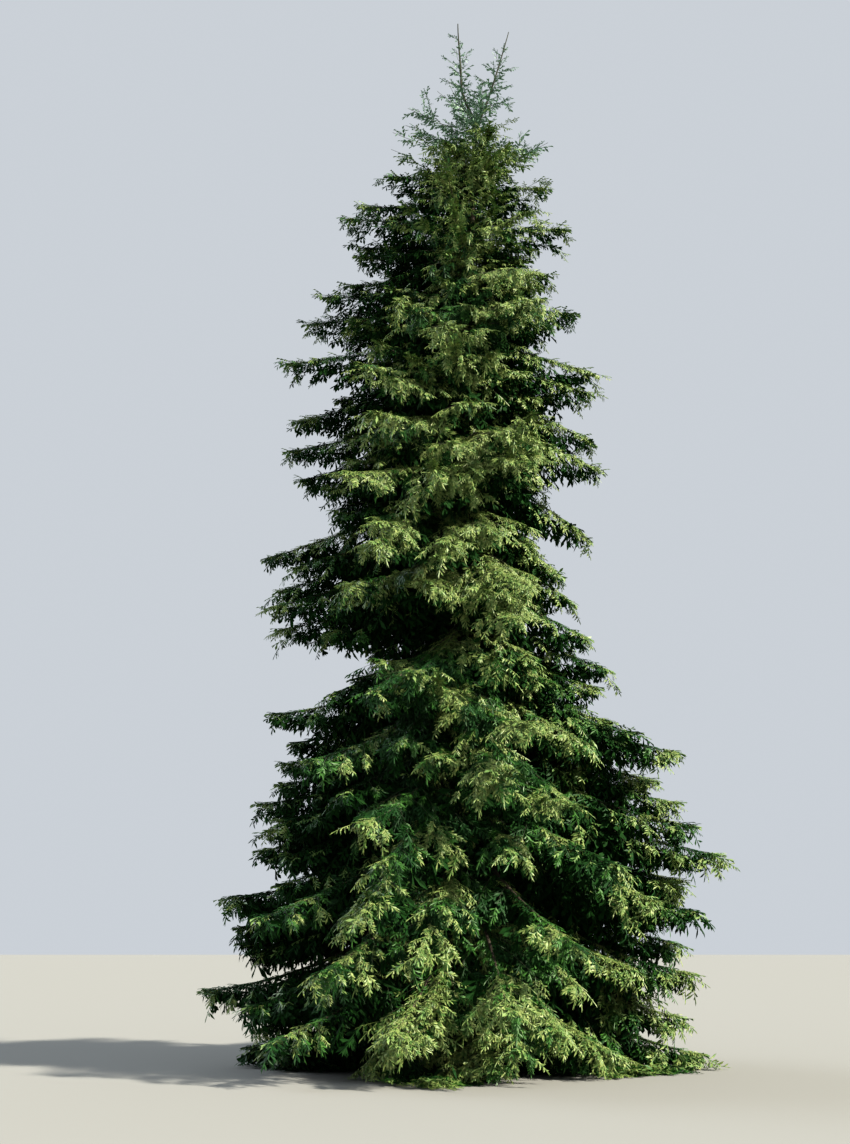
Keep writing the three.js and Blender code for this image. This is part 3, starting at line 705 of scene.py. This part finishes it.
for level in range(len(whorls)):
    for index in range(4):
        mass = massAt(level, index)
        draw = drawsFrom(mass["seed"] * seedSteps["fine"])
        for turn, lower, reachShare in growth["boughs"][int(mass["atEdge"]):]:
            growBough(boughIn(mass, turn, lower, reachShare, draw), draw)
for name, tips in edgeBoughs.items():
    draw = drawsFrom(treeSeed + edges[name]["heading"] + 1)
    for number, (tip, reach) in enumerate(tips):
        growBough(boughAtEdge(name, tip, reach, 1 if number % 2 else -1, draw), draw)
draw = drawsFrom(treeSeed + 3)
for number in range(crownShoots["count"]):
    share = number / crownShoots["count"]
    turn = number * goldenAngle
    length = mixed(*crownShoots["length"], share) * between(crownShoots["lengthVaries"], draw)
    length *= shorterRight(turn)
    rise = crownShoots["rise"] * between(crownShoots["riseVaries"], draw)
    growShoot(trunkLine(mixed(*crownShoots["height"], share)), aimAt(turn, rise), length, 0, draw)
for number, leader in enumerate(leaders):
    growLeader(leader, drawsFrom(treeSeed + number))
draw = drawsFrom(treeSeed + 5)
for number, root, heading, length, rise, standing in longShoots:
    growShoot(leaders[number]["line"](root), aimAt(heading, rise), length, standing, draw)
sprayCount = sum(len(found) for found in sprays.values())
limbCount = sum(len(found) for found in limbs.values())
print("grown:", sprayCount, "sprays,", limbCount, "limbs")

def addNode(tree, kind, settings=None, links=None):
    node = tree.nodes.new(kind)
    for name, value in (settings or {}).items():
        if isinstance(name, str) and hasattr(node, name):
            setattr(node, name, value)
        else:
            node.inputs[name].default_value = value
    for name, source in (links or {}).items():
        tree.links.new(source, node.inputs[name])
    return node

def linear(hexText):  # an sRGB hex colour as the linear values that the shader takes
    values = [int(hexText[start:start + 2], 16) / 255 for start in (1, 3, 5)]
    return [v / 12.92 if v <= 0.04045 else ((v + 0.055) / 1.055) ** 2.4 for v in values] + [1]

def newMaterial(name, roughness, specularLevel):
    material = bpy.data.materials.new(name)
    material.use_nodes = True
    shader = material.node_tree.nodes["Principled BSDF"]
    shader.inputs["Roughness"].default_value = roughness
    shader.inputs["Specular IOR Level"].default_value = specularLevel
    return material, shader

def addPatches(tree, shader, vector, patchSize, detail, stops):  # patches of two colours, their size in mm
    settings = {"Scale": 1000 / patchSize, "Detail": detail}
    patches = addNode(tree, "ShaderNodeTexNoise", settings, {"Vector": vector})
    ramp = addNode(tree, "ShaderNodeValToRGB", {}, {"Fac": patches.outputs["Fac"]})
    for element, (position, colour) in zip(ramp.color_ramp.elements, stops):
        element.position = position
        element.color = linear(colour)
    tree.links.new(ramp.outputs["Color"], shader.inputs["Base Color"])
    return patches.outputs["Fac"]

# Conifer needles: a waxy skin over green flesh, so a soft broad gloss on a matt colour. Young ones are
# yellow-green and the glossiest, old ones deep green and dull, those at the top have a blue-grey bloom.
# The fresh, mature, shaded and inner greens are also lit and shaded copies of one needle colour: painted
# sunlight, painted half shade, painted shade and painted deep shade
needleLooks = {
    "fresh": {"light": "#8a975a", "dark": "#476b30", "roughness": 0.5, "gloss": 0.42},
    "mature": {"light": "#3b6927", "dark": "#234a18", "roughness": 0.5, "gloss": 0.35},
    "shaded": {"light": "#1b451b", "dark": "#113612", "roughness": 0.6, "gloss": 0.25},
    "inner": {"light": "#143b0f", "dark": "#0d2b0a", "roughness": 0.8, "gloss": 0.15},
    "slender": {"light": "#7a9156", "dark": "#466837", "roughness": 0.5, "gloss": 0.35},
    "bluish": {"light": "#7a9880", "dark": "#506e5b", "roughness": 0.5, "gloss": 0.4},
}
needlePatch = 45  # mm, a shoot's needles of one age; single needles, 1.5 mm wide, are too fine to show

def needleMaterial(kind):
    look = needleLooks[kind]
    material, shader = newMaterial(f"{kind}WaxyNeedles", look["roughness"], look["gloss"])
    tree = material.node_tree
    place = addNode(tree, "ShaderNodeTexCoord")
    stops = [(0.35, look["dark"]), (0.65, look["light"])]
    addPatches(tree, shader, place.outputs["Object"], needlePatch, 2.0, stops)
    return material

# Conifer bark: corky and dead matt. Old bark has grey-brown plates between dark furrows up the trunk, 18 mm
# apart and five times as long; young bark is smooth and greenish, with 12 mm patches
barkLooks = {
    "furrowedConiferBark": {"light": "#544a3f", "dark": "#2a231b", "furrows": 18},
    "greenishTwigBark": {"light": "#3d402e", "dark": "#262a1d", "furrows": 12},
}
barkRoughness = 0.9
barkRelief = {"Strength": 0.6, "Distance": 0.004}

def barkMaterial(name):
    look = barkLooks[name]
    material, shader = newMaterial(name, barkRoughness, 0.5)
    tree = material.node_tree
    place = addNode(tree, "ShaderNodeTexCoord")
    upwards = addNode(tree, "ShaderNodeMapping", {"Scale": (1, 1, 0.2)}, {"Vector": place.outputs["Object"]})
    stops = [(0.38, look["dark"]), (0.62, look["light"])]
    plates = addPatches(tree, shader, upwards.outputs["Vector"], look["furrows"], 6.0, stops)
    relief = addNode(tree, "ShaderNodeBump", barkRelief, {"Height": plates})
    tree.links.new(relief.outputs["Normal"], shader.inputs["Normal"])
    return material

def meshObject(name, points, lines, faces):
    mesh = bpy.data.meshes.new(name)
    mesh.from_pydata(points, lines, faces)
    made = bpy.data.objects.new(name, mesh)
    bpy.context.scene.collection.objects.link(made)
    return made

def addAttribute(made, name, kind, values):
    attribute = made.data.attributes.new(name, kind, "POINT")
    attribute.data.foreach_set("vector" if kind == "FLOAT_VECTOR" else "value", np.ravel(values))

# One spray, 1 unit long: a main shoot with side shoots, each a blade toothed by its needles and folded along
# its middle. Widths are shares of a shoot's own length; the pair is a side shoot's length, low and high on it
sprayShapes = {
    "fine": {"sideShoots": 13, "teeth": 2, "mainWidth": 0.05, "sideWidth": 0.19, "length": (0.29, 0.18)},
    "thin": {"sideShoots": 2, "teeth": 3, "mainWidth": 0.13, "sideWidth": 0.22, "length": (0.42, 0.35)},
    "plain": {"sideShoots": 7, "teeth": 2, "mainWidth": 0.06, "sideWidth": 0.165, "length": (0.39, 0.26)},
    "coarse": {"sideShoots": 5, "teeth": 2, "mainWidth": 0.1, "sideWidth": 0.24, "length": (0.48, 0.34)},
}
shapeFor = {
    "fresh": "fine", "mature": "fine", "shaded": "plain", "inner": "coarse", "slender": "thin",
    "bluish": "thin",
}
sprayFolds = {
    "from": 0.08, "along": 0.72, "angleVaries": (32, 72), "lengthVaries": (0.8, 1.15), "fold": 0.6,
    "droop": 0.12, "sideDroopVaries": (-0.25, 1.3), "peak": 0.68, "overhang": 1.25, "slimmer": 0.45,
}

def addShoot(points, faces, start, angle, length, teeth, halfWidth, droop=0.0):
    def place(far, wide):
        x = far * length
        y = wide * length
        z = -sprayFolds["fold"] * abs(y) - sprayFolds["droop"] * (start + x) ** 2 - droop * x * far
        return start + x * math.cos(angle) - y * math.sin(angle), x * math.sin(angle) + y * math.cos(angle), z

    for side in (1, -1):
        order = (0, 1, 2) if side > 0 else (1, 0, 2)
        for tooth in range(teeth):
            low = tooth / teeth
            peak = sprayFolds["peak"] if teeth == 1 else low + sprayFolds["overhang"] / teeth
            wide = side * halfWidth * (1 - sprayFolds["slimmer"] * low ** 2)
            faces.append([len(points) + corner for corner in order])
            points += [place(low, 0), place((tooth + 1) / teeth, 0), place(peak, wide)]

def makeSprayShapes(name):
    form = sprayShapes[name]
    collection = bpy.data.collections.new(f"{name}Sprays")
    for variant in range(sprayForms):
        draw = drawsFrom(treeSeed + 7 * variant)
        points = []
        faces = []
        addShoot(points, faces, 0.0, 0.0, 1.0, form["teeth"], form["mainWidth"])
        for shoot in range(form["sideShoots"]):
            side = 1 if (shoot + variant) % 2 else -1
            start = sprayFolds["from"] + sprayFolds["along"] * (shoot + 0.4 * draw()) / form["sideShoots"]
            angle = side * math.radians(between(sprayFolds["angleVaries"], draw))
            length = mixed(*form["length"], start) * between(sprayFolds["lengthVaries"], draw)
            droop = between(sprayFolds["sideDroopVaries"], draw)
            addShoot(points, faces, start, angle, length, 1, form["sideWidth"], droop)
        shape = meshObject(f"{name}Spray{variant}", points, [], faces)
        bpy.context.scene.collection.objects.unlink(shape)
        collection.objects.link(shape)
    return collection

def newTree(name, sizeName, sizeType, usualSize):  # its inputs are points or lines, a size and the material
    tree = bpy.data.node_groups.new(name, "GeometryNodeTree")
    tree.interface.new_socket("Geometry", in_out="INPUT", socket_type="NodeSocketGeometry")
    tree.interface.new_socket(sizeName, in_out="INPUT", socket_type=sizeType).default_value = usualSize
    tree.interface.new_socket("Material", in_out="INPUT", socket_type="NodeSocketMaterial")
    tree.interface.new_socket("Geometry", in_out="OUTPUT", socket_type="NodeSocketGeometry")
    return tree, addNode(tree, "NodeGroupInput").outputs

def finishTree(tree, geometry, material):
    real = addNode(tree, "GeometryNodeRealizeInstances", {}, {"Geometry": geometry})
    links = {"Geometry": real.outputs["Geometry"], "Material": material}
    painted = addNode(tree, "GeometryNodeSetMaterial", {}, links)
    addNode(tree, "NodeGroupOutput", {}, {"Geometry": painted.outputs["Geometry"]})

# What each point of a piece carries: where its spray points, its upper side, its size and which variant it is
sprayData = {"along": "FLOAT_VECTOR", "raised": "FLOAT_VECTOR", "size": "FLOAT", "pick": "INT"}

def sprayTree(collection):
    tree, inputs = newTree("spraysOnPoints", "Spray size", "NodeSocketFloat", 1.0)
    choice = {"Collection": collection, "Separate Children": True}
    shapes = addNode(tree, "GeometryNodeCollectionInfo", choice)
    data = {}
    for name, kind in sprayData.items():
        settings = {"data_type": kind, "Name": name}
        data[name] = addNode(tree, "GeometryNodeInputNamedAttribute", settings).outputs["Attribute"]
    turn = addNode(tree, "FunctionNodeAxesToRotation", {"primary_axis": "X", "secondary_axis": "Z"}, {
        "Primary Axis": data["along"],
        "Secondary Axis": data["raised"],
    })
    factors = {0: data["size"], 1: inputs["Spray size"]}
    scaled = addNode(tree, "ShaderNodeMath", {"operation": "MULTIPLY"}, factors)
    placed = addNode(tree, "GeometryNodeInstanceOnPoints", {"Pick Instance": True}, {
        "Points": inputs["Geometry"],
        "Instance": shapes.outputs["Instances"],
        "Instance Index": data["pick"],
        "Rotation": turn.outputs["Rotation"],
        "Scale": scaled.outputs["Value"],
    })
    finishTree(tree, placed.outputs["Instances"], inputs["Material"])
    return tree

def limbTree():
    tree, inputs = newTree("taperingLimbs", "Sides", "NodeSocketInt", 3)
    settings = {"data_type": "FLOAT", "Name": "thickness"}
    thickness = addNode(tree, "GeometryNodeInputNamedAttribute", settings)
    curve = addNode(tree, "GeometryNodeMeshToCurve", {}, {"Mesh": inputs["Geometry"]})
    sides = {"Resolution": inputs["Sides"]}
    section = addNode(tree, "GeometryNodeCurvePrimitiveCircle", {"Radius": 1.0}, sides)
    tube = addNode(tree, "GeometryNodeCurveToMesh", {"Fill Caps": True}, {
        "Curve": curve.outputs["Curve"],
        "Profile Curve": section.outputs["Curve"],
        "Scale": thickness.outputs["Attribute"],
    })
    finishTree(tree, tube.outputs["Mesh"], inputs["Material"])
    return tree

restsBelow = 0.06  # from this height down, what would dip into the ground is laid flat on it

def grownMesh(made, tree, values):  # runs the tree on the piece and keeps the result as its plain mesh
    modifier = made.modifiers.new("grown", "NODES")
    modifier.node_group = tree
    for item in tree.interface.items_tree:
        if item.in_out == "INPUT" and item.name in values:
            modifier[item.identifier] = values[item.name]
    result = bpy.data.meshes.new_from_object(made.evaluated_get(bpy.context.evaluated_depsgraph_get()))
    made.modifiers.clear()
    old = made.data
    made.data = result
    result.name = made.name
    bpy.data.meshes.remove(old)
    for name in [*sprayData, "thickness"]:
        if name in result.attributes:
            result.attributes.remove(result.attributes[name])
    places = np.empty(len(result.vertices) * 3, dtype=np.float32)
    result.vertices.foreach_get("co", places)
    height = places[2::3]
    low = height < restsBelow
    height[low] = restsBelow * np.exp(height[low] / restsBelow - 1)
    result.vertices.foreach_set("co", places)

def zoneNodes(zone, slot):  # the frame's nodes that a piece of this zone stands in for
    low, high = zones[zone]["whorls"]
    wanted = "foliage" if slot == "needles" else "bough"
    inZone = []
    for node in frame["nodes"]:
        words = node.split("_")
        if words[0] == wanted and words[1].isdigit() and low <= int(words[1]) - 1 <= high:
            inZone.append(node)
    if slot == "needles" and zone == zoneOf(topWhorl):
        inZone += ["foliage_first_leader", "foliage_second_leader"]
    return inZone

shapes = {name: makeSprayShapes(name) for name in sprayShapes}
sprayTrees = {name: sprayTree(shapes[name]) for name in shapes}
taperingLimbs = limbTree()
needles = {kind: needleMaterial(kind) for kind in needleLooks}
triangles = 0
for (zone, kind), found in sorted(sprays.items()):
    piece = meshObject(f"{kind}Sprays_{zones[zone]['name']}", [spray["point"] for spray in found], [], [])
    for name, dataType in sprayData.items():
        addAttribute(piece, name, dataType, [spray[name] for spray in found])
    grownMesh(piece, sprayTrees[shapeFor[kind]], {"Spray size": 1.0, "Material": needles[kind]})
    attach(piece, "root")
    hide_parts(*zoneNodes(zone, "needles"))
    triangles += len(piece.data.polygons)
    print(piece.name, len(found), "sprays", len(piece.data.polygons), "triangles")
for collection in shapes.values():
    for shape in list(collection.objects):
        bpy.data.objects.remove(shape)
    bpy.data.collections.remove(collection)
print("needles:", triangles, "triangles")

twigBark = barkMaterial("greenishTwigBark")
oldBark = barkMaterial("furrowedConiferBark")
limbBarks = {"bough": oldBark, "twig": twigBark}
limbSides = {"bough": 7, "twig": 3}
for (zone, kind), found in sorted(limbs.items()):
    points = []
    lines = []
    radii = []
    for line, thickness in found:
        lines += [(len(points) + step, len(points) + step + 1) for step in range(len(line) - 1)]
        points += line
        radii += thickness
    piece = meshObject(f"{kind}s_{zones[zone]['name']}", points, lines, [])
    addAttribute(piece, "thickness", "FLOAT", radii)
    grownMesh(piece, taperingLimbs, {"Sides": limbSides[kind], "Material": limbBarks[kind]})
    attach(piece, "root")
    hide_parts(*zoneNodes(zone, "needles" if kind == "twig" else "bark"))
    triangles = sum(len(face.vertices) - 2 for face in piece.data.polygons)
    print(piece.name, len(found), "limbs", triangles, "triangles")

# The trunk's own relief: furrows that run upwards, deeper at the foot, drawn coarser than real ones to show
trunkMesh = {
    "sides": 60, "step": 0.035, "longerSteps": 2.5, "depth": 0.011, "topDepth": 0.002, "topDepthFrom": 7,
    "plainFoot": 0.05,
    "deepest": 0.3,  # a share of the radius
    "around": 3.2, "upwards": 1.1, "coarse": 1.9, "fine": 4.1, "ridges": 2.2, "youngBarkAbove": 10.6,
}
secondLeaderMesh = {"sides": 10, "steps": 20}

def plateAt(outward, height):  # 0 in a furrow, up to 1 on the plates
    spot = outward * trunkMesh["around"] + up * height * trunkMesh["upwards"]
    coarse = abs(noise.noise(spot * trunkMesh["coarse"]))
    fine = abs(noise.noise(spot * trunkMesh["fine"] + up * 7))
    return min((coarse + 0.5 * fine) * trunkMesh["ridges"], 1)

def trunkWithRelief():
    points = []
    faces = []
    heights = []
    sides = trunkMesh["sides"]
    height = 0.0
    while height < trunk["height"]:
        heights.append(height)
        height += trunkMesh["step"] * mixed(1, trunkMesh["longerSteps"], height / trunk["height"])
    heights.append(trunk["height"])
    for height in heights:
        depth = mixed(trunkMesh["depth"], trunkMesh["topDepth"], min(height / trunkMesh["topDepthFrom"], 1))
        depth *= min(height / trunkMesh["plainFoot"], 1)
        for side in range(sides):
            angle = 2 * math.pi * side / sides
            outward = Vector((math.cos(angle), math.sin(angle), 0))
            radius = trunkRadius(height, angle)
            radius -= min(depth, radius * trunkMesh["deepest"]) * (1 - plateAt(outward, height))
            points.append(trunkLine(height) + outward * radius)
    for ring in range(len(heights) - 1):
        for side in range(sides):
            a = ring * sides + side
            b = ring * sides + (side + 1) % sides
            faces.append((a, b, b + sides, a + sides))
    faces.append(tuple(reversed(range(sides))))
    faces.append(tuple(range((len(heights) - 1) * sides, len(heights) * sides)))
    return meshObject("trunkBark", points, [], faces)

trunkPiece = trunkWithRelief()
trunkPiece.data.materials.append(oldBark)
trunkPiece.data.materials.append(twigBark)
for face in trunkPiece.data.polygons:
    face.use_smooth = len(face.vertices) == 4
    face.material_index = int(face.center.z > trunkMesh["youngBarkAbove"])
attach(trunkPiece, "root")
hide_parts("trunk")
steps = secondLeaderMesh["steps"]
heights = [mixed(trunk["forkHeight"], secondLeader["tipHeight"], step / steps) for step in range(steps + 1)]
line = [secondLeaderLine(height) for height in heights]
leaderPiece = meshObject("secondLeaderBark", line, [(step, step + 1) for step in range(steps)], [])
addAttribute(leaderPiece, "thickness", "FLOAT", [secondLeaderRadius(point.z) for point in line])
grownMesh(leaderPiece, taperingLimbs, {"Sides": secondLeaderMesh["sides"], "Material": twigBark})
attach(leaderPiece, "root")
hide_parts("second_leader")
print("trunk:", len(trunkPiece.data.polygons), "faces")

# The stage: a plain floor in pale matt paint, with hardly any gloss, and a pale world
stage = {
    "halfFloor": 60.0, "floor": "#8b8c89", "floorRoughness": 0.95, "floorGloss": 0.05, "world": "#e2e8ef",
    "worldStrength": 0.68,
}
half = stage["halfFloor"]
corners = [(-half, -half, 0), (half, -half, 0), (half, half, 0), (-half, half, 0)]
floor = meshObject("floor", corners, [], [(0, 1, 2, 3)])
floorMaterial, floorShader = newMaterial("palePaintedFloor", stage["floorRoughness"], stage["floorGloss"])
floorShader.inputs["Base Color"].default_value = linear(stage["floor"])
floor.data.materials.append(floorMaterial)
world = bpy.data.worlds.new("softStudioWorld")
world.use_nodes = True
world.node_tree.nodes["Background"].inputs["Color"].default_value = linear(stage["world"])
world.node_tree.nodes["Background"].inputs["Strength"].default_value = stage["worldStrength"]
bpy.context.scene.world = world

# A warm key from the upper right and a weak cool fill from the left, with their softness in degrees
lights = {
    "softKey": {"energy": 8.8, "softness": 3, "colour": "#fff6e6", "towards": (-0.80, 0.36, -0.60)},
    "softFill": {"energy": 1.6, "softness": 30, "colour": "#e6eef8", "towards": (0.75, -0.45, -0.5)},
}
for name, look in lights.items():
    light = bpy.data.lights.new(name, "SUN")
    light.energy = look["energy"]
    light.angle = math.radians(look["softness"])
    light.color = linear(look["colour"])[:3]
    lamp = bpy.data.objects.new(name, light)
    bpy.context.scene.collection.objects.link(lamp)
    lamp.rotation_mode = "QUATERNION"
    lamp.rotation_quaternion = Vector(look["towards"]).to_track_quat("-Z", "Y")

# The camera stands where the photograph was taken from, at eye height, tilted up
view = {"place": (-0.468, -18.0, 1.6), "tilt": 12.77, "lens": 48.5, "furthest": 300}
cameraData = bpy.data.cameras.new("camera")
cameraData.lens = view["lens"]
cameraData.sensor_width = 36
cameraData.clip_end = view["furthest"]
camera = bpy.data.objects.new("camera", cameraData)
camera.location = view["place"]
camera.rotation_euler = (math.radians(90 + view["tilt"]), 0, 0)
bpy.context.scene.collection.objects.link(camera)
bpy.context.scene.camera = camera
bpy.context.scene.view_settings.view_transform = "Standard"
bpy.context.scene.view_settings.look = "Medium High Contrast"
print("stage: floor, world,", len(lights), "lights and the camera")
